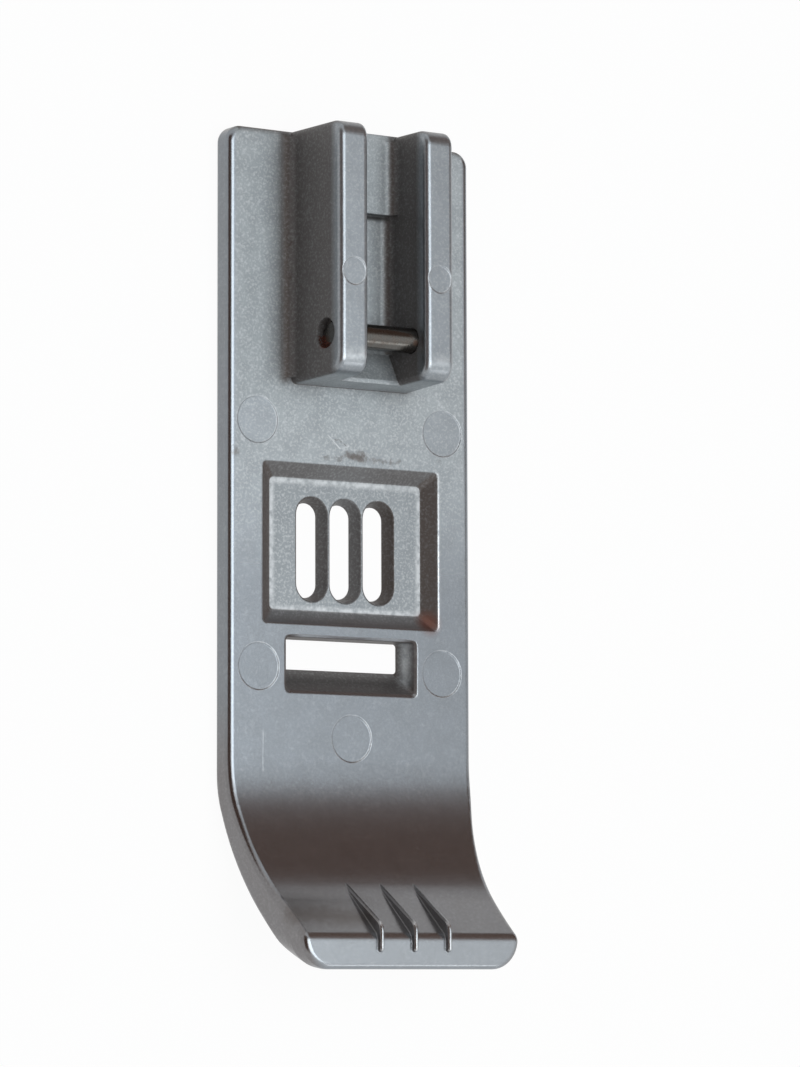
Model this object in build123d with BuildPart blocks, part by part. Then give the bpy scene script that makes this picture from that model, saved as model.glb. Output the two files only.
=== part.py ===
"""Clip-on presser foot for a three-needle cover-stitch machine.

The foot lies on its sole at Z = 0. X runs across the foot, the ears stand at
the +Y end and the toe turns up at the -Y end. All sizes are millimetres.
"""
import os
from math import acos, cos, radians, sin, sqrt, tan

from build123d import *

# Plate
overall_length = 58.95
plate_width = 20.4
plate_thickness = 1.85
rear_corner_radius = 1.15
sole_edge_round = 0.5
top_edge_round = 0.45

# Upturned toe, with the places of its taper measured back from the tip
toe_length = 13.85
toe_height = 9.6
toe_end_depth = 2.5
toe_inner_angle = 50.0
toe_inner_radius = 13.2
toe_tip_width = 17.8
toe_taper_start = 12.15
toe_taper_end = 3.2
toe_taper_blend = 14.0
toe_corner_radius = 2.1
toe_sole_corner = 1.5
lip_round = 0.9

# Ears that carry the pin
ear_length = 18.0
ear_base_width = 10.04
ear_height = 6.0
ear_thickness = 2.36
ear_draft = 2.4
ear_front_round = 1.3
ear_rear_round = 1.1
ear_edge_round = 0.42
ear_root_fillet = 0.8

# Floor between the ears, with heights above the plate
rear_floor_height = 2.1
rear_floor_length = 5.7
pocket_floor_height = 1.5
pocket_end = 15.6
bridge_height = 2.55
bridge_land = 0.3

# Pin that the shank clips onto
pin_diameter = 1.8
pin_height = 4.15
pin_from_rear = 14.9
pin_end_recess = 0.4
pin_end_chamfer = 0.12
pin_bore_clearance = 0.02
pin_relief_diameter = 2.15
pin_relief_depth = 0.65

# Needle recess behind the window, and the slots in it
recess_width = 14.8
recess_length = 11.4
recess_from_window = 0.9
recess_depth = 0.8
recess_wall_run = 1.05
recess_corner_radius = 0.35
recess_rim_round = 0.2
needle_pitch = 2.8
needle_count = 3
slot_web = 0.2
slot_length = 7.4
slot_from_recess = 1.7
slot_wall_run = 0.35

# Front window behind the bend of the toe
window_width = 10.86
window_length = 3.8
window_from_bend = 4.42
window_side_run = 0.5
window_rear_run = 0.05
window_front_run = 1.65
window_corner_radius = 0.25
window_rim_chamfer = 0.15

# Ejector pin marks on the plate and ears
plate_mark_diameter = 3.3
ear_mark_diameter = 1.95
mark_depth = 0.06
rear_mark_spacing = 15.6
rear_mark_from_recess = 2.8
front_mark_spacing = 15.4
front_mark_from_window = 2.15
toe_mark_from_bend = 1.22
ear_mark_from_rear = 10.66

# Gusset ribs inside the toe
rib_thickness = 0.33
rib_rise = 0.36
rib_foot_height = 2.95
rib_bend_from_lip = 0.8
rib_run_on_end = 1.1
rib_bend_round = 0.9
rib_nose_round = 0.3
rib_crest_chamfer = 0.11

# A cutter's reach past a face, the least Z of the normal of a face that looks up or down,
# and the share of the web between two slots that the broken edge of each one takes
margin = 1.0
facing = 0.1
web_chamfer_share = 0.4

# Places along the plate and toe: the toe's sole is one arc that ends in the rounded tip
rear_y = overall_length / 2
plate_top = plate_thickness
front_y = -overall_length / 2
sole_end_y = front_y + toe_length
toe_run = toe_length - top_edge_round
toe_sole_radius = (toe_run**2 / (toe_height - 2 * top_edge_round) + toe_height) / 2
tip_y = sole_end_y - sqrt(toe_height * (2 * toe_sole_radius - toe_height))
tip_angle = acos(1 - toe_height / toe_sole_radius)
lip_y = tip_y + toe_end_depth
top_bend_y = lip_y + (toe_height - plate_top) / tan(radians(toe_inner_angle))
bend_start_y = top_bend_y + toe_inner_radius * tan(radians(toe_inner_angle / 2))
window_front_y = bend_start_y + window_from_bend
window_rear_y = window_front_y + window_length
recess_floor = plate_top - recess_depth
recess_front_y = window_rear_y + recess_from_window
recess_rear_y = recess_front_y + recess_length
recess_y = recess_front_y + recess_length / 2
slot_y = recess_front_y + slot_from_recess + slot_length / 2
slot_width = needle_pitch - slot_web
slot_rim_chamfer = slot_web * web_chamfer_share
window_foot_length = window_length - window_rear_run - window_front_run
needle_places = [needle_pitch * (i - (needle_count - 1) / 2) for i in range(needle_count)]
rib_foot_y = top_bend_y - rib_foot_height / tan(radians(toe_inner_angle))
tip_plane = Plane(
    origin=(0, tip_y, toe_height),
    x_dir=(1, 0, 0),
    z_dir=(0, -cos(tip_angle), sin(tip_angle)),
)

# Places on the ears: their walls run down into the plate by ear_sink
draft = radians(ear_draft)
draft_slope = tan(draft)
ear_top = plate_top + ear_height
ear_sink = 2 * top_edge_round
ear_foot = plate_top - ear_sink
ear_rise = ear_height + ear_sink
ear_front_y = rear_y - ear_length
ear_top_half = ear_base_width / 2 - ear_height * draft_slope
channel_top_half = ear_top_half - ear_thickness
rear_floor_z = plate_top + rear_floor_height
pocket_floor_z = plate_top + pocket_floor_height
bridge_z = plate_top + bridge_height
bridge_y = ear_front_y + bridge_height * draft_slope
pin_plane = Plane.YZ.shift_origin((0, rear_y - pin_from_rear, plate_top + pin_height))
pin_face_x = ear_base_width / 2 - pin_height * draft_slope
pin_length = 2 * (pin_face_x - pin_end_recess)


def from_rear(distance):
    """Return the Y of a place that lies a distance in front of the rear edge."""
    return rear_y - distance


def channel_half(height):
    """Return half the gap between the drafted inner walls at a height."""
    return channel_top_half - (ear_top - height) * draft_slope


root_reach = ear_root_fillet * (1 - sin(draft)) / cos(draft)
root_overlap = ear_root_fillet / 2

# Root fillets: X of the wall, Z of the floor, open side, and the Y where each starts and ends
ear_roots = [
    (ear_base_width / 2, plate_top, 1, rear_y - ear_edge_round, ear_front_y + ear_edge_round),
    (channel_half(rear_floor_z), rear_floor_z, -1, rear_y - ear_edge_round, from_rear(rear_floor_length)),
    (channel_half(pocket_floor_z), pocket_floor_z, -1, from_rear(rear_floor_length), from_rear(pocket_end)),
]

# Ears: side view crossed with the drafted front view of both walls
with BuildPart() as ears:
    with BuildSketch(Plane.YZ) as ear_side:
        Polygon(
            (rear_y, ear_foot),
            (rear_y, ear_top),
            (ear_front_y + ear_height * draft_slope, ear_top),
            (ear_front_y - ear_sink * draft_slope, ear_foot),
            align=None,
        )
        fillet(ear_side.vertices().group_by(Axis.Y)[-1].sort_by(Axis.X)[0], ear_front_round)
        fillet(ear_side.vertices().group_by(Axis.X)[-1].sort_by(Axis.Y)[-1], ear_rear_round)
    extrude(amount=ear_base_width, both=True)
    with BuildSketch(Plane.XZ) as ear_front:
        Polygon(
            (channel_top_half, ear_top),
            (ear_top_half, ear_top),
            (ear_top_half + ear_rise * draft_slope, ear_foot),
            (channel_top_half - ear_rise * draft_slope, ear_foot),
            align=None,
        )
        mirror(about=Plane.YZ)
    extrude(amount=overall_length, both=True, mode=Mode.INTERSECT)
    ear_tops = ears.faces().filter_by(Plane.XY).group_by(Axis.Z)[-1]
    fillet(ear_tops.edges().filter_by(Axis.X, reverse=True), ear_edge_round)

    # Floor between the ears: rear land, pocket under the pin and the ramp of the bridge
    with BuildSketch(Plane.YZ) as floor_side:
        Polygon(
            (rear_y, ear_foot),
            (rear_y, rear_floor_z),
            (from_rear(rear_floor_length), rear_floor_z),
            (from_rear(rear_floor_length), pocket_floor_z),
            (from_rear(pocket_end), pocket_floor_z),
            (bridge_y + bridge_land, bridge_z),
            (bridge_y, bridge_z),
            (ear_front_y - ear_sink * draft_slope, ear_foot),
            align=None,
        )
    extrude(amount=channel_top_half + ear_thickness / 2, both=True)

# One gusset rib: a thin web whose crest runs up from the toe and over its end face
with BuildPart() as rib:
    with BuildSketch(Plane.YZ) as rib_side:
        Polygon(
            (rib_foot_y, plate_top + rib_foot_height),
            (lip_y + rib_bend_from_lip, toe_height + rib_rise),
            (lip_y - rib_run_on_end, toe_height + rib_rise),
            (lip_y - rib_run_on_end, toe_height - rib_rise),
            align=None,
        )
        fillet(rib_side.vertices().group_by(Axis.Y)[-1].sort_by(Axis.X)[-1], rib_bend_round)
        fillet(rib_side.vertices().group_by(Axis.Y)[-1].sort_by(Axis.X)[0], rib_nose_round)
    extrude(amount=rib_thickness / 2, both=True)
    crest = rib.faces().sort_by(Axis.Z)[-1].edges().filter_by(Axis.X, reverse=True)
    chamfer(crest, rib_crest_chamfer)

# The casting
with BuildPart() as foot_body:
    with BuildSketch(Plane.YZ) as side_view:
        with BuildLine():
            sole = Line((rear_y, 0), (sole_end_y, 0))
            toe_sole = TangentArc(sole @ 1, (tip_y, toe_height), tangent=sole % 1)
            Polyline(
                toe_sole @ 1,
                (lip_y, toe_height),
                (top_bend_y, plate_top),
                (rear_y, plate_top),
                sole @ 0,
            )
        make_face()
        fillet(side_view.vertices().sort_by_distance((top_bend_y, plate_top))[0], toe_inner_radius)
        fillet(side_view.vertices().sort_by_distance((lip_y, toe_height))[0], lip_round)
    extrude(amount=plate_width, both=True)
    with BuildSketch(Plane.XY) as plan_view:
        with BuildLine():
            Polyline(
                (0, rear_y),
                (plate_width / 2, rear_y),
                (plate_width / 2, front_y + toe_taper_start),
                (toe_tip_width / 2, front_y + toe_taper_end),
                (toe_tip_width / 2, tip_y),
                (0, tip_y),
            )
            mirror(about=Plane.YZ)
        make_face()
        fillet(plan_view.vertices().filter_by(lambda v: tip_y < v.Y < rear_y), toe_taper_blend)
        fillet(plan_view.vertices().group_by(Axis.Y)[-1].filter_by(lambda v: v.X), rear_corner_radius)
    extrude(amount=toe_height, mode=Mode.INTERSECT)
    sole_faces = foot_body.faces().filter_by(lambda face: face.normal_at().Z < -facing)
    fillet(sole_faces.edges().filter_by(Axis.X, reverse=True), sole_edge_round)
    top_faces = foot_body.faces().filter_by(lambda face: face.normal_at().Z > facing)
    tip_edge = top_faces.sort_by(Axis.Z)[-1].edges().sort_by(Axis.Y)[:1]
    fillet(tip_edge + top_faces.edges().filter_by(Axis.X, reverse=True), top_edge_round)

    # The sole rounding widens towards the tip of the toe
    with BuildSketch(tip_plane):
        with Locations((toe_tip_width / 2 - toe_sole_corner, toe_sole_corner)):
            Rectangle(
                toe_sole_corner + margin,
                toe_sole_corner + margin,
                align=(Align.MIN, Align.MAX),
            )
            Circle(toe_sole_corner, mode=Mode.SUBTRACT)
        mirror(about=Plane.YZ)
    extrude(amount=toe_height, both=True, mode=Mode.SUBTRACT)

    # Corners of the end face, turned with the same rounded rim as its edges
    for side in (1, -1):
        corner_place = (side * (toe_tip_width / 2 - toe_corner_radius), front_y + toe_corner_radius, 0)
        with BuildSketch(Plane(origin=corner_place, x_dir=(side, 0, 0), z_dir=(0, -side, 0))):
            with BuildLine():
                Polyline(
                    (toe_corner_radius, toe_height - top_edge_round),
                    (toe_corner_radius, plate_top),
                    (toe_corner_radius + margin, plate_top),
                    (toe_corner_radius + margin, toe_height + margin),
                    (toe_corner_radius - top_edge_round, toe_height + margin),
                    (toe_corner_radius - top_edge_round, toe_height),
                )
                TangentArc(
                    (toe_corner_radius - top_edge_round, toe_height),
                    (toe_corner_radius, toe_height - top_edge_round),
                    tangent=(1, 0),
                )
            make_face()
        revolve(axis=Axis(corner_place, (0, 0, -side)), revolution_arc=90, mode=Mode.SUBTRACT)

    # Needle recess with sloping walls
    with BuildSketch(Plane.XY.offset(plate_top)):
        with Locations((0, recess_y)):
            RectangleRounded(recess_width, recess_length, recess_corner_radius)
    with BuildSketch(Plane.XY.offset(recess_floor)):
        with Locations((0, recess_y)):
            RectangleRounded(
                recess_width - 2 * recess_wall_run,
                recess_length - 2 * recess_wall_run,
                recess_corner_radius,
            )
    loft(mode=Mode.SUBTRACT)
    fillet(foot_body.edges(Select.LAST).group_by(Axis.Z)[-1], recess_rim_round)

    # Needle slots through the floor of the recess
    for needle_x in needle_places:
        with BuildSketch(Plane.XY.offset(recess_floor)):
            with Locations((needle_x, slot_y)):
                SlotOverall(slot_length, slot_width, rotation=90)
        with BuildSketch(Plane.XY):
            with Locations((needle_x, slot_y)):
                SlotOverall(slot_length - 2 * slot_wall_run, slot_width - 2 * slot_wall_run, rotation=90)
        loft(mode=Mode.SUBTRACT)
        chamfer(foot_body.edges(Select.LAST).group_by(Axis.Z)[-1], slot_rim_chamfer)

    # Front window with a long ramp on its toe side
    with BuildSketch(Plane.XY.offset(plate_top)):
        with Locations((0, window_front_y + window_length / 2)):
            RectangleRounded(window_width, window_length, window_corner_radius)
    with BuildSketch(Plane.XY):
        with Locations((0, window_front_y + window_front_run + window_foot_length / 2)):
            RectangleRounded(
                window_width - 2 * window_side_run,
                window_foot_length,
                window_corner_radius,
            )
    loft(mode=Mode.SUBTRACT)
    chamfer(foot_body.edges(Select.LAST).group_by(Axis.Z)[-1], window_rim_chamfer)

    # Ejector pin marks on the plate
    with BuildSketch(Plane.XY.offset(plate_top - mark_depth)):
        with Locations((0, recess_rear_y + rear_mark_from_recess)):
            with GridLocations(rear_mark_spacing, 0, 2, 1):
                Circle(plate_mark_diameter / 2)
        with Locations((0, window_rear_y - front_mark_from_window)):
            with GridLocations(front_mark_spacing, 0, 2, 1):
                Circle(plate_mark_diameter / 2)
        with Locations((0, bend_start_y + toe_mark_from_bend)):
            Circle(plate_mark_diameter / 2)
    extrude(amount=mark_depth + margin, mode=Mode.SUBTRACT)

    # Ears with a fillet along the root of each wall
    add(ears.part)
    for wall_x, floor_z, side, start_y, end_y in ear_roots:
        fillet_x = wall_x + side * root_reach
        wall_foot = (wall_x - side * root_overlap, floor_z - root_overlap)
        wall_end = (
            fillet_x - side * ear_root_fillet * cos(draft),
            floor_z + ear_root_fillet * (1 - sin(draft)),
        )
        with BuildSketch(Plane.XZ.offset(-start_y)):
            with BuildLine():
                Polyline(
                    wall_end,
                    (wall_foot[0], wall_end[1]),
                    wall_foot,
                    (fillet_x, wall_foot[1]),
                    (fillet_x, floor_z),
                )
                TangentArc((fillet_x, floor_z), wall_end, tangent=(-side, 0))
            make_face()
            mirror(about=Plane.YZ)
        extrude(amount=start_y - end_y)

    # Ejector pin marks on the ears
    with BuildSketch(Plane.XY.offset(ear_top)):
        with Locations((0, from_rear(ear_mark_from_rear))):
            with GridLocations(ear_top_half + channel_top_half, 0, 2, 1):
                Circle(ear_mark_diameter / 2)
    extrude(amount=-mark_depth, mode=Mode.SUBTRACT)

    # Bore for the pin, opened out at the outer face of each ear
    with BuildSketch(pin_plane):
        Circle(pin_diameter / 2 + pin_bore_clearance / 2)
    extrude(amount=plate_width, both=True, mode=Mode.SUBTRACT)
    for side in (1, -1):
        with BuildSketch(pin_plane.offset(side * (pin_face_x - pin_relief_depth))):
            Circle(pin_relief_diameter / 2)
        extrude(amount=side * plate_width, mode=Mode.SUBTRACT)

    with Locations(*[(needle_x, 0, 0) for needle_x in needle_places]):
        add(rib.part)

foot_body.part.label = "foot_body"

# The pin that the shank clips onto, pressed through both ears
with BuildPart() as cross_pin:
    with BuildSketch(pin_plane):
        Circle(pin_diameter / 2)
    extrude(amount=pin_length / 2, both=True)
    chamfer(cross_pin.edges().filter_by(GeomType.CIRCLE), pin_end_chamfer)

cross_pin.part.label = "cross_pin"

os.makedirs("parts", exist_ok=True)
export_step(foot_body.part, "parts/foot_body.step")
export_step(cross_pin.part, "parts/cross_pin.step")
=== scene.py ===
"""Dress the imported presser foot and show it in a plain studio.

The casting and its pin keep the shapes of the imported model. This script gives
them their finishes, adds the rust that has grown in the bore of the pin, and
sets the foot on a white floor under soft light, seen as in the photograph.
"""
import logging
import math
from dataclasses import dataclass, field
from enum import Enum
from typing import Any

import bpy
from mathutils import Matrix, Vector


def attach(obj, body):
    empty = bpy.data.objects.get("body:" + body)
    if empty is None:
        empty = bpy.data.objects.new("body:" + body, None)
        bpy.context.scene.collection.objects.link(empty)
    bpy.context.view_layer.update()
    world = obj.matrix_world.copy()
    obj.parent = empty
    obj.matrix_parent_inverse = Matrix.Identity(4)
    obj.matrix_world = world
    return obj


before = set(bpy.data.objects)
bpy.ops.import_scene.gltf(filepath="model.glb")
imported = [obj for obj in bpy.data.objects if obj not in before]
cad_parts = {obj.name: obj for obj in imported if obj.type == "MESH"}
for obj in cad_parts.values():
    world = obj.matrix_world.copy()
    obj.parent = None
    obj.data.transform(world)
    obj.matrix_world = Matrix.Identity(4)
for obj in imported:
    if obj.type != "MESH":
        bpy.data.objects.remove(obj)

LOG = logging.getLogger("presser_foot")
MM = 0.001
BODY = "root"


class Node(Enum):
    """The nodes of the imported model."""

    CASTING = "foot_body"
    PIN = "cross_pin"


class Slot(Enum):
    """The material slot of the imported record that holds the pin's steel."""

    STEEL = "pin_steel"


class Axis(Enum):
    """The way along which a finish changes: out from the middle, from toe to ears, or up."""

    ACROSS = "X"
    ALONG = "Y"
    UP = "Z"


class CardSide(Enum):
    """The side of the foot on which a studio card stands."""

    REAR_RIGHT = "rear_right"
    CAMERA = "camera"


def linear(code: str) -> tuple[float, float, float, float]:
    """Turn an sRGB hex colour into linear light.

    Args:
        code: The colour as six hex digits after a leading mark.

    Returns:
        Red, green and blue in linear light, and an alpha of one.
    """
    digits = code.lstrip("#")
    channels = [int(digits[i:i + 2], 16) / 255 for i in (0, 2, 4)]
    light = [c / 12.92 if c <= 0.04045 else ((c + 0.055) / 1.055) ** 2.4 for c in channels]
    return (light[0], light[1], light[2], 1.0)


def per_metre(size_mm: float) -> float:
    """Return the texture scale that gives a pattern the stated size in millimetres."""
    return 1.0 / (size_mm * MM)


def add_node(
    tree: bpy.types.NodeTree,
    kind: str,
    inputs: dict[Any, Any] | None = None,
    **settings: Any,
) -> bpy.types.Node:
    """Add a node to a tree, with its settings, values and links.

    Args:
        tree: The node tree that gets the node.
        kind: Blender's name of the node's type.
        inputs: Values or output sockets, by the name or number of the input.
        settings: Properties of the node itself.

    Returns:
        The new node.
    """
    node = tree.nodes.new(kind)
    for name, value in settings.items():
        setattr(node, name, value)
    for name, value in (inputs or {}).items():
        if isinstance(value, bpy.types.NodeSocket):
            tree.links.new(value, node.inputs[name])
        else:
            node.inputs[name].default_value = value
    return node


def blank_material(name: str) -> tuple[bpy.types.Material, bpy.types.NodeTree]:
    """Make a material with an empty node tree.

    Args:
        name: The material's name.

    Returns:
        The material and its node tree.
    """
    material = bpy.data.materials.new(name)
    material.use_nodes = True
    material.node_tree.nodes.clear()
    return material, material.node_tree


@dataclass(frozen=True)
class Stroke:
    """A thin mark on the casting from one point to another, in millimetres."""

    start: tuple[float, float, float]
    end: tuple[float, float, float]
    width: float
    strength: float = 1.0

    def mask(self, tree: bpy.types.NodeTree, place: bpy.types.NodeSocket) -> bpy.types.NodeSocket:
        """Add the nodes that hold the mark's strength on it and fade to nothing beside it.

        Args:
            tree: The material's node tree.
            place: The socket with the place on the object, in metres.

        Returns:
            The socket with the mask.
        """
        start = Vector(self.start) * MM
        along = Vector(self.end) * MM - start
        offset = add_node(tree, "ShaderNodeVectorMath", {0: place, 1: start}, operation="SUBTRACT")
        share = add_node(
            tree,
            "ShaderNodeVectorMath",
            {0: offset.outputs["Vector"], 1: along / along.length_squared},
            operation="DOT_PRODUCT",
        )
        held = add_node(tree, "ShaderNodeClamp", {"Value": share.outputs["Value"]})
        nearest = add_node(
            tree, "ShaderNodeVectorMath", {0: along, "Scale": held.outputs["Result"]}, operation="SCALE"
        )
        distance = add_node(
            tree,
            "ShaderNodeVectorMath",
            {0: offset.outputs["Vector"], 1: nearest.outputs["Vector"]},
            operation="DISTANCE",
        )
        mask = add_node(
            tree,
            "ShaderNodeMapRange",
            {
                "Value": distance.outputs["Value"],
                "From Min": 0.0,
                "From Max": self.width * MM,
                "To Min": self.strength,
                "To Max": 0.0,
            },
            interpolation_type="SMOOTHSTEP",
        )
        return mask.outputs["Result"]


@dataclass(frozen=True)
class Disc:
    """A round patch on the casting or the pin, in millimetres."""

    centre: tuple[float, float, float]
    radius: float
    edge: float

    def mask(self, tree: bpy.types.NodeTree, place: bpy.types.NodeSocket) -> bpy.types.NodeSocket:
        """Add the nodes that are one on the patch and fall to nothing over its edge.

        Args:
            tree: The material's node tree.
            place: The socket with the place on the object, in metres.

        Returns:
            The socket with the mask.
        """
        distance = add_node(
            tree, "ShaderNodeVectorMath", {0: place, 1: Vector(self.centre) * MM}, operation="DISTANCE"
        )
        mask = add_node(
            tree,
            "ShaderNodeMapRange",
            {
                "Value": distance.outputs["Value"],
                "From Min": (self.radius - self.edge) * MM,
                "From Max": self.radius * MM,
                "To Min": 1.0,
                "To Max": 0.0,
            },
            interpolation_type="SMOOTHSTEP",
        )
        return mask.outputs["Result"]


@dataclass(frozen=True)
class Crescent:
    """The painted highlight on the lit side of the rim of a round patch, in millimetres."""

    disc: Disc
    shift: tuple[float, float, float] = (-0.06, 0.02, 0.0)
    width: float = 0.09

    def mask(self, tree: bpy.types.NodeTree, place: bpy.types.NodeSocket) -> bpy.types.NodeSocket:
        """Add the nodes that are one on the lit side of the rim.

        Args:
            tree: The material's node tree.
            place: The socket with the place on the object, in metres.

        Returns:
            The socket with the mask.
        """
        centre = tuple(Vector(self.disc.centre) + Vector(self.shift))
        inner = Disc(centre, self.disc.radius - self.width, self.width)
        sides = {0: self.disc.mask(tree, place), 1: inner.mask(tree, place)}
        return add_node(tree, "ShaderNodeMath", sides, operation="SUBTRACT", use_clamp=True).outputs[0]


@dataclass(frozen=True)
class Fade:
    """A share that changes over a stretch of the casting, in millimetres."""

    axis: Axis
    start: float
    end: float
    before: float = 0.0
    after: float = 1.0
    eased: bool = False

    def mask(self, tree: bpy.types.NodeTree, place: bpy.types.NodeSocket) -> bpy.types.NodeSocket:
        """Add the nodes that hold the share at each place.

        Args:
            tree: The material's node tree.
            place: The socket with the place on the object, in metres.

        Returns:
            The socket with the share.
        """
        if self.axis is Axis.ACROSS:
            place = add_node(tree, "ShaderNodeVectorMath", {0: place}, operation="ABSOLUTE").outputs["Vector"]
        value = add_node(tree, "ShaderNodeSeparateXYZ", {0: place}).outputs[self.axis.value]
        share = add_node(
            tree,
            "ShaderNodeMapRange",
            {
                "Value": value,
                "From Min": self.start * MM,
                "From Max": self.end * MM,
                "To Min": self.before,
                "To Max": self.after,
            },
            interpolation_type="SMOOTHSTEP" if self.eased else "LINEAR",
        )
        return share.outputs["Result"]


def weakened(
    tree: bpy.types.NodeTree,
    place: bpy.types.NodeSocket,
    share: bpy.types.NodeSocket,
    fades: tuple[Fade, ...],
) -> bpy.types.NodeSocket:
    """Multiply a share by several fades.

    Args:
        tree: The material's node tree.
        place: The socket with the place on the object.
        share: The socket with the share.
        fades: The fades that weaken it.

    Returns:
        The socket with what is left of the share.
    """
    for fade in fades:
        mask = fade.mask(tree, place)
        share = add_node(tree, "ShaderNodeMath", {0: share, 1: mask}, operation="MULTIPLY").outputs[0]
    return share


def strongest(
    tree: bpy.types.NodeTree,
    place: bpy.types.NodeSocket,
    marks: tuple[Stroke | Disc | Crescent, ...],
) -> bpy.types.NodeSocket:
    """Join the masks of several marks.

    Args:
        tree: The material's node tree.
        place: The socket with the place on the object.
        marks: The marks to join.

    Returns:
        The socket with the strongest mask at each place.
    """
    joined = marks[0].mask(tree, place)
    for mark in marks[1:]:
        mask = mark.mask(tree, place)
        joined = add_node(tree, "ShaderNodeMath", {0: joined, 1: mask}, operation="MAXIMUM").outputs[0]
    return joined


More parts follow.
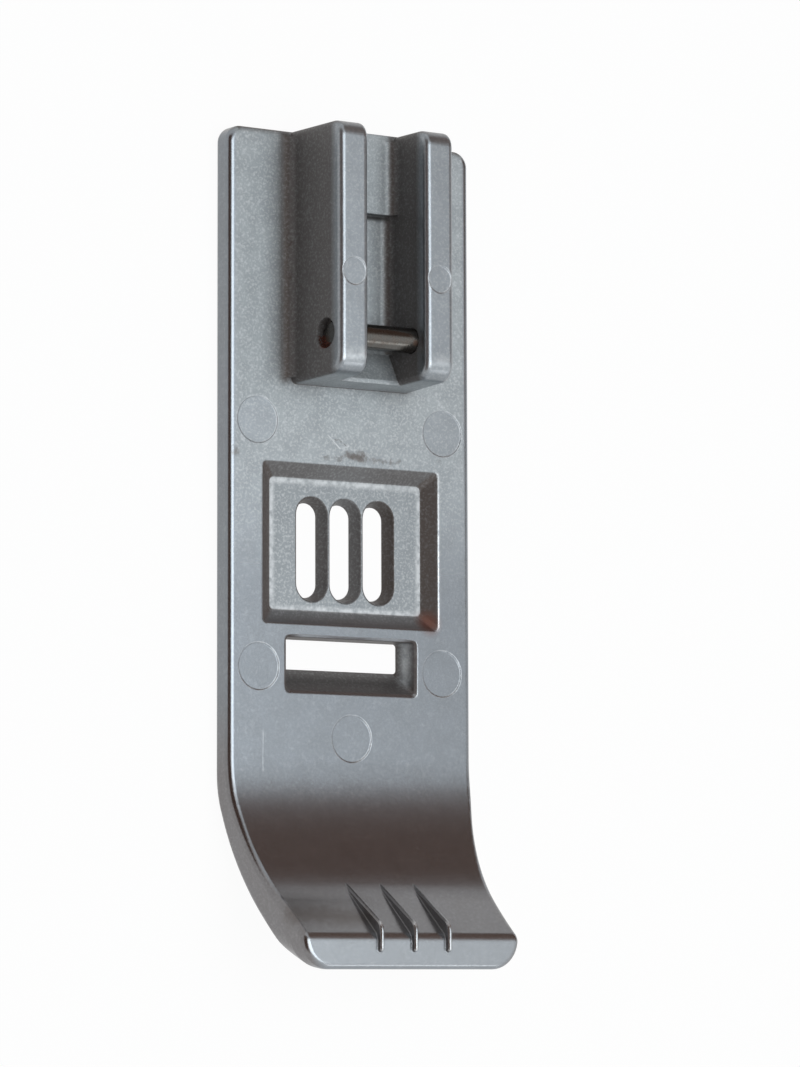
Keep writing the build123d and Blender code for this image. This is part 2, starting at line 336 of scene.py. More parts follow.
@dataclass(frozen=True)
class CastZinc:
    """Zinc alloy, pressure die-cast and tumbled.

    The skin is a neutral grey. It is dull and finely grained round the ears, where
    it has gone matt in use, and smooth and bright on the toe, the rims and the tops
    of the ears, which are rubbed. A brown film with painted shade lies on the walls and
    in the corners, and a few scratches and stains cross the plate. Painted shade darkens
    the recess, the rear-facing faces and the flanks, and painted highlights run along
    the rims and crests.
    """

    # To the eye: a cool grey sheen that mirrors the room softly on the toe, breaks up
    # into pale sparkle round the ears, and goes brown and flat where the film and painted shade lie.
    name: str = "die_cast_zinc"
    dull: str = "#9FA5A8"
    polished: str = "#878D93"
    deep_tone_and_shade: str = "#7A7F83"
    pale: str = "#D3D6D8"
    crease_shadow: str = "#1F1C1B"
    film_and_shade: str = "#493F3A"
    smudge_and_shade: str = "#58504B"
    tarnish_and_shade: str = "#6F645E"
    rust: str = "#6B3A26"
    dull_metal: float = 0.45
    film_and_shade_metal: float = 0.15
    dull_roughness: float = 0.5
    polished_roughness: float = 0.25
    film_and_shade_roughness: float = 0.55
    # The real grain is about 0.05 mm wide, less than a pixel, so it is drawn coarser.
    grain_mm: float = 0.18
    grain_height_mm: float = 0.008
    grain_left_by_polish: float = 0.25
    speckle_range: tuple[float, float] = (0.48, 0.68)
    speckle_dull: float = 0.4
    speckle_polished: float = 0.06
    # Bright specks are pin-pricks on the real skin. They too are drawn large enough to show.
    speck_mm: float = 0.5
    speck_range: tuple[float, float] = (0.58, 0.74)
    speck_strength: float = 0.06
    blotch_mm: float = 1.6
    blotch_range: tuple[float, float] = (0.4, 0.65)
    blotch_strength: float = 0.3
    # Scratches are a few hundredths of a millimetre wide, and are drawn about 0.1 mm wide.
    wear_mm: float = 0.45
    wear_range: tuple[float, float] = (0.25, 0.6)
    wear_strength: float = 0.75
    mark_rim_highlight_share: float = 0.5
    stain_and_shade_drift_mm: float = 1.1
    rust_strength: float = 0.75
    edge_round_mm: float = 0.12
    # Polish: from the ears to the toe, but not in the recess, and on ears, rims and marks.
    front_polish: Fade = Fade(Axis.ALONG, 10.0, -4.0, eased=True)
    recess_polish: Fade = Fade(Axis.UP, 1.1, 1.7, 0.1, 1.0)
    ear_polish: Fade = Fade(Axis.UP, 5.6, 7.4, 0.0, 0.75, eased=True)
    rim_polish: Fade = Fade(Axis.ACROSS, 9.45, 9.8, eased=True)
    mark_polish: float = 0.6
    # Film and painted shade: darker in closed corners, and painted shade on walls by how far they lean over, in
    # sine of the angle.
    corner_reach_mm: float = 2.2
    corner_range: tuple[float, float] = (0.95, 0.6)
    corner_film_and_shade: float = 0.9
    corner_fades: tuple[Fade, ...] = (
        Fade(Axis.ALONG, 11.2, 12.2, 0.2, 1.0),
        Fade(Axis.ACROSS, 2.0, 3.0, 0.35, 1.0),
    )
    wall_range: tuple[float, float] = (0.2, 0.55)
    wall_shade: float = 0.8
    rear_wall_weight: float = 1.4
    end_wall_share: Fade = Fade(Axis.UP, 1.85, 2.2, 0.55, 0.0)
    wall_fades: tuple[Fade, ...] = (
        Fade(Axis.ACROSS, 9.3, 9.5, 1.0, 0.0),
        Fade(Axis.ALONG, -14.0, -11.5, 0.0, 1.0),
        Fade(Axis.ALONG, -6.6, -5.8, 0.95, 1.0),
        Fade(Axis.UP, 6.6, 7.3, 1.0, 0.0),
        Fade(Axis.UP, 1.78, 2.0, 1.2, 1.0),
    )
    film_and_shade_thin_range: tuple[float, float] = (0.45, 0.7)
    film_and_shade_thin_share: float = 0.86
    # Painted warm shade on faces that look to the rear and on the flanks, most of it on the toe.
    rear_range: tuple[float, float] = (0.55, 0.75)
    rear_shade: float = 0.45
    flank_range: tuple[float, float] = (0.1, 0.6)
    flank_shade: Fade = Fade(Axis.ALONG, -16.0, -10.0, 0.55, 0.12)
    # Painted shade, deeper towards the floors of the recess, slots and window.
    recess_shade: Fade = Fade(Axis.UP, 1.1, 1.7, 0.42, 0.0)
    toe_end: Fade = Fade(Axis.UP, 9.3, 9.6, 0.0, 0.16)
    ejector_marks: tuple[Disc, ...] = (
        Disc((-7.8, 8.78, 1.79), 1.76, 0.08),
        Disc((7.8, 8.78, 1.79), 1.76, 0.08),
        Disc((-7.7, -8.47, 1.79), 1.76, 0.08),
        Disc((7.7, -8.47, 1.79), 1.76, 0.08),
        Disc((0.0, -13.32, 1.79), 1.76, 0.08),
        Disc((-3.59, 18.82, 7.79), 1.06, 0.06),
        Disc((3.59, 18.82, 7.79), 1.06, 0.06),
    )
    scratches: tuple[Stroke, ...] = (
        Stroke((-1.96, 8.06, 1.85), (-0.95, 7.15, 1.85), 0.08),
        Stroke((-0.95, 7.15, 1.85), (-0.21, 7.37, 1.85), 0.1),
        Stroke((-7.34, -12.86, 1.85), (-7.38, -15.73, 1.9), 0.1, 0.3),
    )
    stains_and_shade: tuple[Stroke, ...] = (
        Stroke((-1.75, 7.96, 1.85), (-0.21, 7.37, 1.85), 0.1, 0.5),
        Stroke((-0.2, 6.62, 1.85), (1.1, 6.7, 1.85), 0.5, 0.85),
        Stroke((-2.51, 6.46, 1.85), (4.03, 6.49, 1.85), 0.26, 0.5),
        Stroke((7.5, 6.75, 1.85), (7.62, 6.7, 1.85), 0.35, 0.5),
        Stroke((-9.65, 6.42, 1.85), (-9.5, 6.46, 1.85), 0.45, 0.6),
        Stroke((-5.35, 21.25, 2.1), (-5.35, 21.4, 2.1), 0.3, 0.8),
        Stroke((-5.35, 19.0, 2.1), (-5.35, 19.1, 2.1), 0.25, 0.8),
        # Painted shade on the lower left of the toe.
        Stroke((-8.4, -25.7, 7.9), (-3.6, -25.9, 8.1), 1.5, 0.55),
    )
    # Painted shadow along the step between the ears and on the front wall of the window.
    crease_shadows: tuple[Stroke, ...] = (
        Stroke((-2.2, 23.6, 3.4), (2.2, 23.6, 3.4), 0.4),
        Stroke((-5.2, -9.4, 0.9), (3.9, -9.4, 0.9), 1.3, 0.6),
    )
    # Places where the film and the painted shade are taken off.
    film_and_shade_cleared: tuple[Stroke, ...] = (
        Stroke((5.18, -6.6, 0.9), (5.18, -9.0, 0.9), 1.0, 0.9),
        Stroke((0.0, -2.6, 0.6), (0.0, 3.2, 0.6), 4.6, 0.35),
        Stroke((6.0, 11.5, 1.9), (6.0, 29.3, 1.9), 1.1, 1.0),
    )
    # Painted shade along the roots of the ears and of the channel walls between them.
    painted_root_shade: tuple[Stroke, ...] = (
        Stroke((-5.5, 12.0, 2.0), (-5.5, 29.3, 2.0), 0.95),
        Stroke((-2.1, 14.2, 3.5), (-2.1, 23.7, 3.5), 0.7),
        Stroke((2.1, 14.2, 3.5), (2.1, 23.7, 3.5), 0.7),
        Stroke((-2.1, 23.8, 4.1), (-2.1, 29.3, 4.1), 0.6),
        Stroke((2.1, 23.8, 4.1), (2.1, 29.3, 4.1), 0.6),
    )
    # Painted highlights along the recess floor's edges and rims, the window's right side, the fronts of the ear
    # tops and the rib crests.
    painted_edge_highlights: tuple[Stroke, ...] = (
        Stroke((-6.2, -4.3, 1.05), (-6.2, 4.8, 1.05), 0.4),
        Stroke((-6.2, 4.75, 1.05), (6.2, 4.75, 1.05), 0.4),
        Stroke((6.22, 4.8, 1.05), (6.22, -4.3, 1.05), 0.4),
        Stroke((6.2, -4.25, 1.05), (-6.2, -4.25, 1.05), 0.35),
        Stroke((7.38, 5.8, 1.84), (7.38, -5.3, 1.84), 0.26),
        Stroke((5.4, -6.5, 1.84), (5.4, -10.0, 1.84), 0.3),
        Stroke((5.18, -6.6, 0.9), (5.18, -9.0, 0.9), 0.8, 0.55),
        Stroke((6.35, 4.9, 1.1), (7.3, 5.8, 1.8), 0.2, 0.7),
        Stroke((4.7, -9.2, 0.9), (5.4, -10.0, 1.8), 0.2, 0.7),
        Stroke((-4.1, 12.9, 7.8), (-3.1, 12.9, 7.8), 0.9, 0.6),
        Stroke((3.1, 12.9, 7.8), (4.1, 12.9, 7.8), 0.9, 0.35),
        Stroke((-2.8, -26.1, 9.75), (-2.8, -28.2, 9.96), 0.2),
        Stroke((0.0, -26.1, 9.75), (0.0, -28.2, 9.96), 0.2),
        Stroke((2.8, -26.1, 9.75), (2.8, -28.2, 9.96), 0.2),
        Stroke((-2.8, -24.3, 6.8), (-2.8, -26.1, 9.6), 0.13, 0.6),
        Stroke((0.0, -24.3, 6.8), (0.0, -26.1, 9.6), 0.13, 0.6),
        Stroke((2.8, -24.3, 6.8), (2.8, -26.1, 9.6), 0.13, 0.6),
    )
    rust_spots: tuple[Disc, ...] = (
        Disc((-4.6, 13.85, 5.6), 0.55, 0.4),
        Disc((6.7, -4.9, 1.4), 1.3, 1.1),
    )

    def _film_and_shade(
        self,
        tree: bpy.types.NodeTree,
        place: bpy.types.NodeSocket,
        rounded: bpy.types.NodeSocket,
        pressed: bpy.types.NodeSocket,
    ) -> bpy.types.NodeSocket:
        """Add the brown film and the painted shade that lie in the corners and on the walls inside the rims.

        Args:
            tree: The material's node tree.
            place: The socket with the place on the object.
            rounded: The socket with the normal of the softened edges.
            pressed: The socket with the mask of the ejector marks, which stay free of the film and painted
                shade.

        Returns:
            The socket with the share of the film and painted shade.
        """
        corner = add_node(
            tree,
            "ShaderNodeAmbientOcclusion",
            {"Distance": self.corner_reach_mm * MM},
            samples=8,
            only_local=True,
        ).outputs["AO"]
        gathered = add_node(
            tree,
            "ShaderNodeMapRange",
            {
                "Value": corner,
                "From Min": self.corner_range[0],
                "From Max": self.corner_range[1],
                "To Max": self.corner_film_and_shade,
            },
        ).outputs["Result"]
        leaning = add_node(tree, "ShaderNodeSeparateXYZ", {0: rounded}).outputs
        sideways = add_node(tree, "ShaderNodeMath", {0: leaning["X"]}, operation="ABSOLUTE").outputs[0]
        forward = add_node(
            tree, "ShaderNodeMath", {0: leaning["Y"], 1: -self.rear_wall_weight}, operation="MULTIPLY"
        ).outputs[0]
        endways = add_node(tree, "ShaderNodeMath", {0: leaning["Y"], 1: forward}, operation="MAXIMUM").outputs[0]
        steep = add_node(
            tree,
            "ShaderNodeMath",
            {0: endways, 1: self.end_wall_share.mask(tree, place), 2: sideways},
            operation="MULTIPLY_ADD",
        ).outputs[0]
        wall_facing_shade = add_node(
            tree,
            "ShaderNodeMapRange",
            {
                "Value": steep,
                "From Min": self.wall_range[0],
                "From Max": self.wall_range[1],
                "To Max": self.wall_shade,
            },
        ).outputs["Result"]
        film_and_shade = weakened(tree, place, gathered, self.corner_fades)
        walls = weakened(tree, place, wall_facing_shade, self.wall_fades)
        for other in (walls, strongest(tree, place, self.painted_root_shade)):
            film_and_shade = add_node(tree, "ShaderNodeMath", {0: film_and_shade, 1: other}, operation="MAXIMUM").outputs[0]
        film_and_shade_cleared = strongest(tree, place, self.film_and_shade_cleared)
        bare = add_node(tree, "ShaderNodeMath", {0: pressed, 1: film_and_shade_cleared}, operation="MAXIMUM").outputs[0]
        film_and_shade_kept = add_node(tree, "ShaderNodeMath", {0: 1.0, 1: bare}, operation="SUBTRACT").outputs[0]
        return add_node(tree, "ShaderNodeMath", {0: film_and_shade, 1: film_and_shade_kept}, operation="MULTIPLY").outputs[0]

    def _polish(
        self,
        tree: bpy.types.NodeTree,
        place: bpy.types.NodeSocket,
        pressed: bpy.types.NodeSocket,
    ) -> bpy.types.NodeSocket:
        """Add the nodes that are zero on the dull skin and one on the polished skin.

        Args:
            tree: The material's node tree.
            place: The socket with the place on the object.
            pressed: The socket with the mask of the ejector marks, which are smooth.

        Returns:
            The socket with the share of the polish.
        """
        polish = weakened(tree, place, self.front_polish.mask(tree, place), (self.recess_polish,))
        smooth = add_node(
            tree, "ShaderNodeMath", {0: pressed, 1: self.mark_polish}, operation="MULTIPLY"
        ).outputs[0]
        for other in (smooth, self.ear_polish.mask(tree, place), self.rim_polish.mask(tree, place)):
            polish = add_node(tree, "ShaderNodeMath", {0: polish, 1: other}, operation="MAXIMUM").outputs[0]
        return polish

    def _drifted(self, tree: bpy.types.NodeTree, place: bpy.types.NodeSocket) -> bpy.types.NodeSocket:
        """Add the nodes that shift each place a little, for ragged stains and the painted shade among them.

        Args:
            tree: The material's node tree.
            place: The socket with the place on the object.

        Returns:
            The socket with the shifted place.
        """
        drift = add_node(
            tree,
            "ShaderNodeTexNoise",
            {"Vector": place, "Scale": per_metre(self.stain_and_shade_drift_mm / 2), "Detail": 3.0},
        ).outputs["Color"]
        centred = add_node(
            tree, "ShaderNodeVectorMath", {0: drift, 1: (0.5, 0.5, 0.5)}, operation="SUBTRACT"
        ).outputs["Vector"]
        return add_node(
            tree,
            "ShaderNodeVectorMath",
            {0: centred, 1: (self.stain_and_shade_drift_mm * MM,) * 3, 2: place},
            operation="MULTIPLY_ADD",
        ).outputs["Vector"]

    def _patterns(
        self,
        tree: bpy.types.NodeTree,
        place: bpy.types.NodeSocket,
        grain: bpy.types.NodeSocket,
    ) -> dict[str, bpy.types.NodeSocket]:
        """Add the masks that cover the whole skin: speckle, specks, blotches, wear, and painted shade on
        rear-facing faces and flanks.

        Args:
            tree: The material's node tree.
            place: The socket with the place on the object.
            grain: The socket with the height of the grain.

        Returns:
            The sockets with the masks, by name.
        """
        blotch = add_node(
            tree,
            "ShaderNodeTexNoise",
            {"Vector": place, "Scale": per_metre(self.blotch_mm), "Detail": 5.0, "Roughness": 0.6},
        ).outputs["Fac"]
        speck = add_node(
            tree, "ShaderNodeTexNoise", {"Vector": place, "Scale": per_metre(self.speck_mm), "Detail": 2.0}
        ).outputs["Fac"]
        wear = add_node(
            tree, "ShaderNodeTexNoise", {"Vector": place, "Scale": per_metre(self.wear_mm), "Detail": 3.0}
        ).outputs["Fac"]
        normal = add_node(tree, "ShaderNodeNewGeometry").outputs["Normal"]
        leaning = add_node(tree, "ShaderNodeSeparateXYZ", {0: normal}).outputs
        outward = add_node(tree, "ShaderNodeMath", {0: leaning["X"]}, operation="ABSOLUTE").outputs[0]
        sources = {
            "speckle": (grain, self.speckle_range, 1.0),
            "speck": (speck, self.speck_range, 1.0),
            "blotch": (blotch, self.blotch_range, 1.0),
            "wear": (wear, self.wear_range, self.wear_strength),
            "rear": (leaning["Y"], self.rear_range, 1.0),
            "flank": (outward, self.flank_range, 1.0),
        }
        return {
            name: add_node(
                tree,
                "ShaderNodeMapRange",
                {"Value": value, "From Min": low, "From Max": high, "To Max": most},
            ).outputs["Result"]
            for name, (value, (low, high), most) in sources.items()
        }

    def _colour(
        self,
        tree: bpy.types.NodeTree,
        place: bpy.types.NodeSocket,
        polish: bpy.types.NodeSocket,
        grain: bpy.types.NodeSocket,
    ) -> bpy.types.NodeSocket:
        """Add the speckled colour of the skin with its painted shade, painted highlights, scratches and stains.

        Args:
            tree: The material's node tree.
            place: The socket with the place on the object.
            polish: The socket with the share of the polish.
            grain: The socket with the height of the grain.

        Returns:
            The socket with the colour.
        """
        colour = add_node(
            tree,
            "ShaderNodeMix",
            {0: polish, 6: linear(self.dull), 7: linear(self.polished)},
            data_type="RGBA",
        ).outputs[2]
        pattern = self._patterns(tree, place, grain)
        sparkle = add_node(
            tree,
            "ShaderNodeMapRange",
            {"Value": polish, "To Min": self.speckle_dull, "To Max": self.speckle_polished},
        ).outputs["Result"]
        rim_highlight = add_node(
            tree, "ShaderNodeMath", {0: pattern["wear"], 1: self.mark_rim_highlight_share}, operation="MULTIPLY"
        ).outputs[0]
        rims = tuple(Crescent(mark) for mark in self.ejector_marks)
        layers = (
            (pattern["blotch"], self.blotch_strength, self.deep_tone_and_shade),
            # Painted shade towards the recess floor.
            (self.recess_shade.mask(tree, place), 1.0, self.deep_tone_and_shade),
            (self.toe_end.mask(tree, place), 1.0, self.pale),
            (pattern["speck"], self.speck_strength, self.pale),
            # Painted warm shade on rear-facing faces and flanks.
            (pattern["rear"], self.rear_shade, self.tarnish_and_shade),
            (pattern["flank"], self.flank_shade.mask(tree, place), self.tarnish_and_shade),
            (pattern["speckle"], sparkle, self.pale),
            # Painted highlight on the lit side of the marks' rims.
            (strongest(tree, place, rims), rim_highlight, self.pale),
            (strongest(tree, place, self.scratches), pattern["wear"], self.pale),
            # Stains, and painted shade on the toe.
            (strongest(tree, self._drifted(tree, place), self.stains_and_shade), 1.0, self.smudge_and_shade),
            # Painted highlights along the edges and rib crests.
            (strongest(tree, place, self.painted_edge_highlights), pattern["wear"], self.pale),
        )
        for share, strength, over in layers:
            laid = add_node(tree, "ShaderNodeMath", {0: share, 1: strength}, operation="MULTIPLY").outputs[0]
            colour = add_node(
                tree, "ShaderNodeMix", {0: laid, 6: colour, 7: linear(over)}, data_type="RGBA"
            ).outputs[2]
        return colour

    def material(self) -> bpy.types.Material:
        """Build the finish as a material and return it."""
        material, tree = blank_material(self.name)
        place = add_node(tree, "ShaderNodeTexCoord").outputs["Object"]
        pressed = strongest(tree, place, self.ejector_marks)
        polish = self._polish(tree, place, pressed)
        rounded = add_node(
            tree, "ShaderNodeBevel", {"Radius": self.edge_round_mm * MM}, samples=6
        ).outputs["Normal"]
        grain = add_node(
            tree,
            "ShaderNodeTexNoise",
            {"Vector": place, "Scale": per_metre(self.grain_mm), "Detail": 2.0, "Distortion": 0.5},
        ).outputs["Fac"]
        thinned = add_node(
            tree,
            "ShaderNodeMapRange",
            {
                "Value": grain,
                "From Min": self.film_and_shade_thin_range[0],
                "From Max": self.film_and_shade_thin_range[1],
                "To Min": 1.0,
                "To Max": self.film_and_shade_thin_share,
            },
        ).outputs["Result"]
        laid = self._film_and_shade(tree, place, rounded, pressed)
        film_and_shade = add_node(tree, "ShaderNodeMath", {0: laid, 1: thinned}, operation="MULTIPLY").outputs[0]
        rusted = strongest(tree, place, self.rust_spots)
        rust = add_node(
            tree, "ShaderNodeMath", {0: rusted, 1: self.rust_strength}, operation="MULTIPLY"
        ).outputs[0]
        colour = self._colour(tree, place, polish, grain)
        for share, over in (
            # Brown film with painted shade in the corners and on the walls.
            (film_and_shade, self.film_and_shade),
            # Painted shadows in the creases.
            (strongest(tree, place, self.crease_shadows), self.crease_shadow),
            (rust, self.rust),
        ):
            colour = add_node(
                tree, "ShaderNodeMix", {0: share, 6: colour, 7: linear(over)}, data_type="RGBA"
            ).outputs[2]
        bare_metal = add_node(
            tree, "ShaderNodeMapRange", {"Value": polish, "To Min": self.dull_metal, "To Max": 1.0}
        ).outputs["Result"]
        metal = add_node(
            tree, "ShaderNodeMapRange", {"Value": film_and_shade, "To Min": bare_metal, "To Max": self.film_and_shade_metal}
        ).outputs["Result"]
        bare_rough = add_node(
            tree,
            "ShaderNodeMapRange",
            {"Value": polish, "To Min": self.dull_roughness, "To Max": self.polished_roughness},
        ).outputs["Result"]
        rough = add_node(
            tree, "ShaderNodeMapRange", {"Value": film_and_shade, "To Min": bare_rough, "To Max": self.film_and_shade_roughness}
        ).outputs["Result"]
        grain_share = add_node(
            tree,
            "ShaderNodeMapRange",
            {"Value": polish, "To Min": 1.0, "To Max": self.grain_left_by_polish},
        ).outputs["Result"]
        relief = add_node(
            tree,
            "ShaderNodeBump",
            {
                "Height": grain,
                "Distance": self.grain_height_mm * MM,
                "Strength": grain_share,
                "Normal": rounded,
            },
        ).outputs["Normal"]
        shader = add_node(
            tree,
            "ShaderNodeBsdfPrincipled",
            {"Base Color": colour, "Metallic": metal, "Roughness": rough, "Normal": relief},
        )
        add_node(tree, "ShaderNodeOutputMaterial", {"Surface": shader.outputs["BSDF"]})
        return material


@dataclass(frozen=True)
class DrawnSteel:
    """Drawn steel wire, cut for the pin.

    It is smoother than the casting, so it mirrors the walls beside it in clear
    bands along its length, with fine rings round it and a brown spot at one end.
    """

    # To the eye: a dark, narrow mirror, with long bands of light and brown along it.
    name: str = "drawn_steel_wire"
    bare: str = "#605F5C"
    stain: str = "#54453D"
    roughness: float = 0.2
    stained_roughness: float = 0.45
    stain_mm: float = 0.5
    stain_range: tuple[float, float] = (0.45, 0.75)
    stain_strength: float = 0.5
    # The real drawing rings are about 0.02 mm apart, and are drawn coarser so that they show.
    ring_mm: float = 0.12
    ring_height_mm: float = 0.0006
    spots: tuple[Disc, ...] = (
        Disc((2.15, 14.3, 6.85), 0.4, 0.3),
        Disc((-4.45, 14.1, 5.5), 0.75, 0.7),
    )

    def material(self) -> bpy.types.Material:
        """Build the finish as a material and return it."""
        material, tree = blank_material(self.name)
        place = add_node(tree, "ShaderNodeTexCoord").outputs["Object"]
        patch = add_node(
            tree,
            "ShaderNodeTexNoise",
            {"Vector": place, "Scale": per_metre(self.stain_mm), "Detail": 5.0, "Roughness": 0.6},
        ).outputs["Fac"]
        tarnish_and_shade = add_node(
            tree,
            "ShaderNodeMapRange",
            {
                "Value": patch,
                "From Min": self.stain_range[0],
                "From Max": self.stain_range[1],
                "To Max": self.stain_strength,
            },
        ).outputs["Result"]
        spot = strongest(tree, place, self.spots)
        stained = add_node(tree, "ShaderNodeMath", {0: tarnish_and_shade, 1: spot}, operation="MAXIMUM").outputs[0]
        colour = add_node(
            tree,
            "ShaderNodeMix",
            {0: stained, 6: linear(self.bare), 7: linear(self.stain)},
            data_type="RGBA",
        ).outputs[2]
        rough = add_node(
            tree,
            "ShaderNodeMapRange",
            {"Value": stained, "To Min": self.roughness, "To Max": self.stained_roughness},
        ).outputs["Result"]
        rings = add_node(
            tree,
            "ShaderNodeTexWave",
            {"Vector": place, "Scale": per_metre(self.ring_mm) / (2 * math.pi), "Distortion": 2.0},
            bands_direction="X",
        ).outputs["Fac"]
        relief = add_node(
            tree,
            "ShaderNodeBump",
            {"Height": rings, "Distance": self.ring_height_mm * MM, "Strength": 1.0},
        ).outputs["Normal"]
        shader = add_node(
            tree,
            "ShaderNodeBsdfPrincipled",
            {"Base Color": colour, "Metallic": 1.0, "Roughness": rough, "Normal": relief},
        )
        add_node(tree, "ShaderNodeOutputMaterial", {"Surface": shader.outputs["BSDF"]})
        return material


@dataclass(frozen=True)
class IronRust:
    """Red iron oxide, grown in grains on the damp end of the pin.

    It is matt and crumbly, and goes from a dark brown to a brick red.
    """

    # To the eye: a crust with no shine, dark in its pits and red on its grains.
    name: str = "iron_rust"
    dark: str = "#351C15"
    red: str = "#74402F"
    patch_mm: float = 0.12
    patch_range: tuple[float, float] = (0.35, 0.65)
    roughness: float = 0.9

    def material(self) -> bpy.types.Material:
        """Build the finish as a material and return it."""
        material, tree = blank_material(self.name)
        place = add_node(tree, "ShaderNodeTexCoord").outputs["Object"]
        patch = add_node(
            tree,
            "ShaderNodeTexNoise",
            {"Vector": place, "Scale": per_metre(self.patch_mm), "Detail": 3.0},
        ).outputs["Fac"]
        share = add_node(
            tree,
            "ShaderNodeMapRange",
            {"Value": patch, "From Min": self.patch_range[0], "From Max": self.patch_range[1]},
        ).outputs["Result"]
        colour = add_node(
            tree,
            "ShaderNodeMix",
            {0: share, 6: linear(self.dark), 7: linear(self.red)},
            data_type="RGBA",
        ).outputs[2]
        shader = add_node(
            tree, "ShaderNodeBsdfPrincipled", {"Base Color": colour, "Roughness": self.roughness}
        )
        add_node(tree, "ShaderNodeOutputMaterial", {"Surface": shader.outputs["BSDF"]})
        return material


@dataclass
class Casting:
    """The cast body of the foot."""

    finish: CastZinc = field(default_factory=CastZinc)

    def build(self) -> bpy.types.Object:
        """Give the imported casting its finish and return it."""
        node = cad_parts[Node.CASTING.value]
        node.data.materials.clear()
        node.data.materials.append(self.finish.material())
        return node


@dataclass
class CrossPin:
    """The pin between the ears."""

    finish: DrawnSteel = field(default_factory=DrawnSteel)

    def build(self) -> bpy.types.Object:
        """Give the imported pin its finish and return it."""
        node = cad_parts[Node.PIN.value]
        node.data.materials.clear()
        node.data.materials.append(self.finish.material())
        return node


@dataclass
class BoreRust:
    """Rust grains round the left end of the pin, in the mouth of its bore.

    Sizes are in millimetres and angles in degrees. The ring is the outline of the bed
    that the grains grow on: X and distance from the pin's axis, from the pin's end
    out to the wall of the bore and into it.
    """

    finish: IronRust = field(default_factory=IronRust)
    name: str = "bore_rust"
    pin_axis: tuple[float, float] = (14.575, 6.0)
    ring: tuple[tuple[float, float], ...] = ((-4.46, 0.66), (-4.44, 0.9), (-4.42, 1.06), (-4.74, 1.075))
    start_angle: float = 155.0
    end_angle: float = 265.0
    steps: int = 22
    grains_per_mm2: float = 150.0
    grain_mm: float = 0.05
    grain_scale: tuple[float, float] = (0.4, 1.3)
    grain_turn: float = 6.28
    seed: int = 7

    def _bed(self) -> bpy.types.Object:
        """Build the curved strip that the grains grow on and return it."""
        points = []
        faces = []
        span = math.radians(self.end_angle - self.start_angle)
        count = len(self.ring)
        for step in range(self.steps + 1):
            angle = math.radians(self.start_angle) + span * step / self.steps
            for x, radius in self.ring:
                y = self.pin_axis[0] + radius * math.cos(angle)
                z = self.pin_axis[1] + radius * math.sin(angle)
                points.append((x * MM, y * MM, z * MM))
        for step in range(self.steps):
            for i in range(count - 1):
                corner = step * count + i
                faces.append((corner, corner + 1, corner + count + 1, corner + count))
        mesh = bpy.data.meshes.new(self.name)
        mesh.from_pydata(points, [], faces)
        bed = bpy.data.objects.new(self.name, mesh)
        bpy.context.scene.collection.objects.link(bed)
        return bed

    def _tree(self) -> bpy.types.NodeTree:
        """Build the node tree that grows grains on a surface and return it."""
        tree = bpy.data.node_groups.new("rust_grains", "GeometryNodeTree")
        tree.interface.new_socket("Bed", in_out="INPUT", socket_type="NodeSocketGeometry")
        for name, kind in (
            ("Density", "NodeSocketFloat"),
            ("Grain Size", "NodeSocketFloat"),
            ("Seed", "NodeSocketInt"),
            ("Rust", "NodeSocketMaterial"),
        ):
            tree.interface.new_socket(name, in_out="INPUT", socket_type=kind)
        tree.interface.new_socket("Grains", in_out="OUTPUT", socket_type="NodeSocketGeometry")
        given = add_node(tree, "NodeGroupInput").outputs
        spread = add_node(
            tree,
            "GeometryNodeDistributePointsOnFaces",
            {"Mesh": given["Bed"], "Density": given["Density"], "Seed": given["Seed"]},
        )
        grain = add_node(
            tree, "GeometryNodeMeshIcoSphere", {"Radius": given["Grain Size"], "Subdivisions": 1}
        )
        size = add_node(
            tree,
            "FunctionNodeRandomValue",
            {0: (self.grain_scale[0],) * 3, 1: (self.grain_scale[1],) * 3, "Seed": given["Seed"]},
            data_type="FLOAT_VECTOR",
        )
        turn = add_node(
            tree,
            "FunctionNodeRandomValue",
            {0: (0.0, 0.0, 0.0), 1: (self.grain_turn,) * 3, "Seed": given["Seed"]},
            data_type="FLOAT_VECTOR",
        )
        grown = add_node(
            tree,
            "GeometryNodeInstanceOnPoints",
            {
                "Points": spread.outputs["Points"],
                "Instance": grain.outputs["Mesh"],
                "Rotation": turn.outputs[0],
                "Scale": size.outputs[0],
            },
        )
        real = add_node(tree, "GeometryNodeRealizeInstances", {"Geometry": grown.outputs["Instances"]})
        dressed = add_node(
            tree,
            "GeometryNodeSetMaterial",
            {"Geometry": real.outputs["Geometry"], "Material": given["Rust"]},
        )
        add_node(tree, "NodeGroupOutput", {"Grains": dressed.outputs["Geometry"]})
        return tree

    def build(self) -> bpy.types.Object:
        """Grow the grains, make them one plain mesh that rides on the foot, and return it."""
        bed = self._bed()
        tree = self._tree()
        values = {
            "Density": self.grains_per_mm2 / MM**2,
            "Grain Size": self.grain_mm * MM,
            "Seed": self.seed,
            "Rust": self.finish.material(),
        }
        growth = bed.modifiers.new("growth", "NODES")
        growth.node_group = tree
        for socket in tree.interface.items_tree:
            if socket.name in values:
                growth[socket.identifier] = values[socket.name]
        evaluated = bed.evaluated_get(bpy.context.evaluated_depsgraph_get())
        grown = bpy.data.meshes.new_from_object(evaluated)
        bed.modifiers.remove(growth)
        bed.data = grown
        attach(bed, BODY)
        return bed


@dataclass(frozen=True)
class Card:
    """A card of the studio, seen only in reflections. Sizes are in metres."""

    side: CardSide
    centre: tuple[float, float, float]
    width: float
    height: float
    colour: str


@dataclass(frozen=True)
class Softbox:
    """A square soft light, in metres and watts."""

    name: str
    place: tuple[float, float, float]
    target: tuple[float, float, float]
    size: float
    power: float
    tint: tuple[float, float, float]


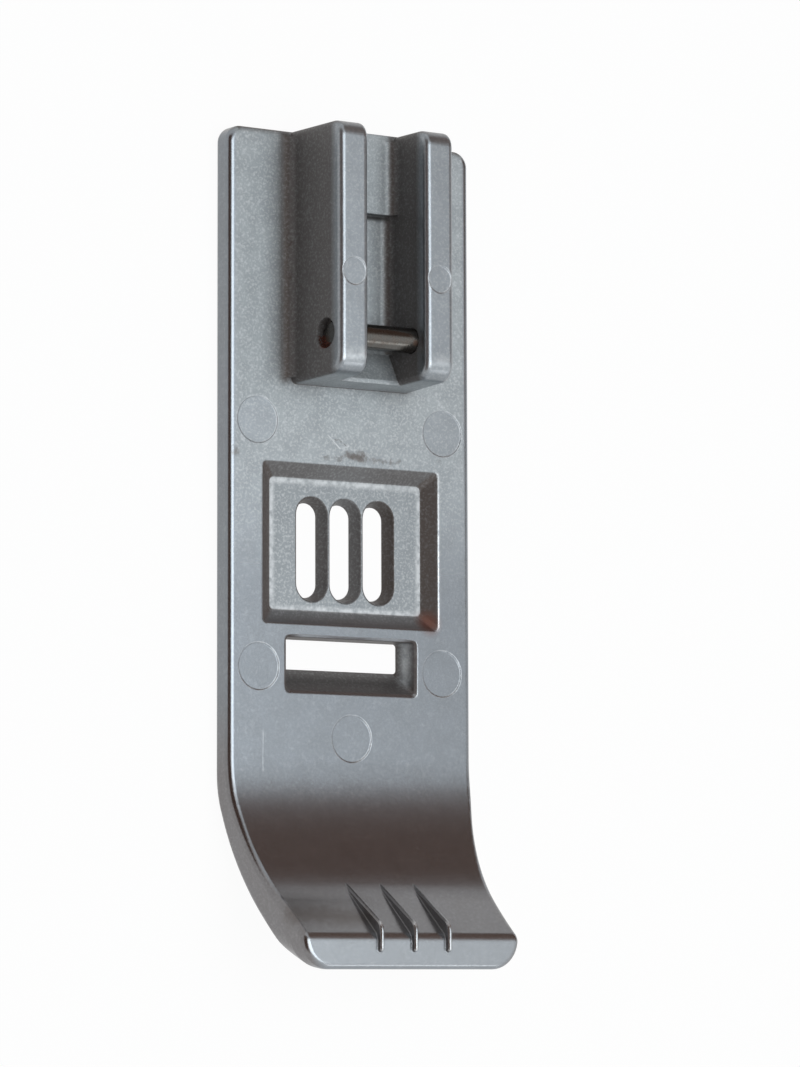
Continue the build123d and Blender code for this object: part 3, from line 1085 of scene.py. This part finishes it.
@dataclass
class Studio:
    """White floor, soft lights and the brown cards round the foot.

    Sizes are in metres. The floor lies a hair below the sole, so that the two faces
    don't share a plane.
    """

    floor_half: float = 1.5
    floor_level: float = -0.00002
    floor_colour: str = "#F4F4F3"
    floor_glow: float = 0.95
    ambient: float = 0.3
    softboxes: tuple[Softbox, ...] = (
        Softbox("overhead", (0.02, -0.02, 0.45), (0.02, -0.02, 0.0), 0.37, 1.25, (0.92, 0.97, 1.0)),
        Softbox("front_right", (0.32, -0.4, 0.34), (0.0, 0.0, 0.0), 0.14, 0.12, (1.0, 1.0, 1.0)),
    )
    cards: tuple[Card, ...] = (
        Card(CardSide.REAR_RIGHT, (0.262, 0.236, 0.175), 0.42, 0.38, "#846A5E"),
        Card(CardSide.CAMERA, (-0.296, 0.026, 0.268), 0.67, 0.46, "#6E564B"),
    )

    def _background_rays(self, tree: bpy.types.NodeTree) -> bpy.types.NodeSocket:
        """Add the nodes that are one for rays that show the background.

        Args:
            tree: The node tree of the floor or the world.

        Returns:
            The socket that is one for camera, glossy and transmission rays.
        """
        path = add_node(tree, "ShaderNodeLightPath")
        seen = add_node(
            tree,
            "ShaderNodeMath",
            {0: path.outputs["Is Camera Ray"], 1: path.outputs["Is Glossy Ray"]},
            operation="MAXIMUM",
        )
        return add_node(
            tree,
            "ShaderNodeMath",
            {0: seen.outputs[0], 1: path.outputs["Is Transmission Ray"]},
            operation="MAXIMUM",
        ).outputs[0]

    def lay_floor(self) -> bpy.types.Object:
        """Build the white floor and return it."""
        half, level = self.floor_half, self.floor_level
        mesh = bpy.data.meshes.new("floor")
        mesh.from_pydata(
            [(-half, -half, level), (half, -half, level), (half, half, level), (-half, half, level)],
            [],
            [(0, 1, 2, 3)],
        )
        floor = bpy.data.objects.new("floor", mesh)
        bpy.context.scene.collection.objects.link(floor)
        # To the eye: plain white paper that glows to white and still takes the foot's shadow.
        material, tree = blank_material("white_paper")
        paper = add_node(tree, "ShaderNodeBsdfDiffuse", {"Color": linear(self.floor_colour)})
        glow = add_node(tree, "ShaderNodeEmission", {"Color": (1, 1, 1, 1), "Strength": 1.0})
        share = add_node(
            tree, "ShaderNodeMath", {0: self._background_rays(tree), 1: self.floor_glow}, operation="MULTIPLY"
        )
        mixed = add_node(
            tree,
            "ShaderNodeMixShader",
            {0: share.outputs[0], 1: paper.outputs["BSDF"], 2: glow.outputs["Emission"]},
        )
        add_node(tree, "ShaderNodeOutputMaterial", {"Surface": mixed.outputs["Shader"]})
        mesh.materials.append(material)
        return floor

    def stand_card(self, card: Card) -> bpy.types.Object:
        """Build one card so that it faces the foot.

        Args:
            card: The card's side, place, size and colour.

        Returns:
            The card's object.
        """
        name = f"card_{card.side.value}"
        centre = Vector(card.centre)
        across = centre.cross(Vector((0, 0, 1))).normalized() * (card.width / 2)
        up = across.cross(centre).normalized() * (card.height / 2)
        corners = [centre - across - up, centre + across - up, centre + across + up, centre - across + up]
        mesh = bpy.data.meshes.new(name)
        mesh.from_pydata([tuple(corner) for corner in corners], [], [(0, 1, 2, 3)])
        stand = bpy.data.objects.new(name, mesh)
        bpy.context.scene.collection.objects.link(stand)
        # To the eye: painted brown board, seen only as the warm dark band that the metal mirrors.
        material, tree = blank_material(name)
        shade = add_node(tree, "ShaderNodeEmission", {"Color": linear(card.colour), "Strength": 1.0})
        add_node(tree, "ShaderNodeOutputMaterial", {"Surface": shade.outputs["Emission"]})
        mesh.materials.append(material)
        stand.visible_camera = False
        stand.visible_diffuse = False
        stand.visible_shadow = False
        return stand

    def hang_softbox(self, box: Softbox) -> bpy.types.Object:
        """Hang one light so that it faces its target.

        Args:
            box: The light's name, place, target, size, power and tint.

        Returns:
            The light's object.
        """
        lamp = bpy.data.lights.new(box.name, "AREA")
        lamp.size = box.size
        lamp.energy = box.power
        lamp.color = box.tint
        softbox = bpy.data.objects.new(box.name, lamp)
        softbox.location = box.place
        back = Vector(box.place) - Vector(box.target)
        softbox.rotation_euler = back.to_track_quat("Z", "Y").to_euler()
        bpy.context.scene.collection.objects.link(softbox)
        return softbox

    def fill_room(self) -> None:
        """Make the world white where it shows and pale where it lights."""
        world = bpy.data.worlds.new("studio_room")
        world.use_nodes = True
        tree = world.node_tree
        tree.nodes.clear()
        strength = add_node(
            tree,
            "ShaderNodeMapRange",
            {"Value": self._background_rays(tree), "To Min": self.ambient, "To Max": 1.0},
        )
        air = add_node(
            tree,
            "ShaderNodeBackground",
            {"Color": (1, 1, 1, 1), "Strength": strength.outputs["Result"]},
        )
        add_node(tree, "ShaderNodeOutputWorld", {"Surface": air.outputs["Background"]})
        bpy.context.scene.world = world

    def build(self) -> None:
        """Build the floor, the lights, the room and the cards."""
        self.lay_floor()
        self.fill_room()
        for box in self.softboxes:
            self.hang_softbox(box)
        for card in self.cards:
            self.stand_card(card)


@dataclass
class PhotoCamera:
    """The camera of the photograph, in millimetres and pixels."""

    place: tuple[float, float, float] = (-173.04, -31.075, 265.7)
    target: tuple[float, float, float] = (4.129, 1.409, 1.85)
    roll: float = -0.0029
    focal_px: float = 4494.64
    long_side_px: float = 1067.0

    def build(self) -> bpy.types.Object:
        """Build the camera, make it the scene's camera and return it."""
        place = Vector(self.place) * MM
        back = (place - Vector(self.target) * MM).normalized()
        right = Vector((0, 1, 0)).cross(back).normalized()
        up = back.cross(right)
        rolled_right = right * math.cos(self.roll) + up * math.sin(self.roll)
        rolled_up = up * math.cos(self.roll) - right * math.sin(self.roll)
        lens = bpy.data.cameras.new("photo_camera")
        lens.lens = lens.sensor_width * self.focal_px / self.long_side_px
        lens.clip_start = MM
        camera = bpy.data.objects.new("photo_camera", lens)
        turn = Matrix((rolled_right, rolled_up, back)).transposed().to_4x4()
        camera.matrix_world = Matrix.Translation(place) @ turn
        bpy.context.scene.collection.objects.link(camera)
        bpy.context.scene.camera = camera
        return camera


def main() -> None:
    """Dress the foot, build the studio and the camera, and log each step."""
    logging.basicConfig(level=logging.INFO, format="%(name)s: %(message)s")
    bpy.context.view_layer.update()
    for piece in (Casting(), CrossPin(), BoreRust()):
        LOG.info("built %s", piece.build().name)
    Studio().build()
    LOG.info("built the studio")
    PhotoCamera().build()
    LOG.info("built the camera")
    bpy.context.scene.view_settings.view_transform = "Standard"


if __name__ == "__main__":
    main()
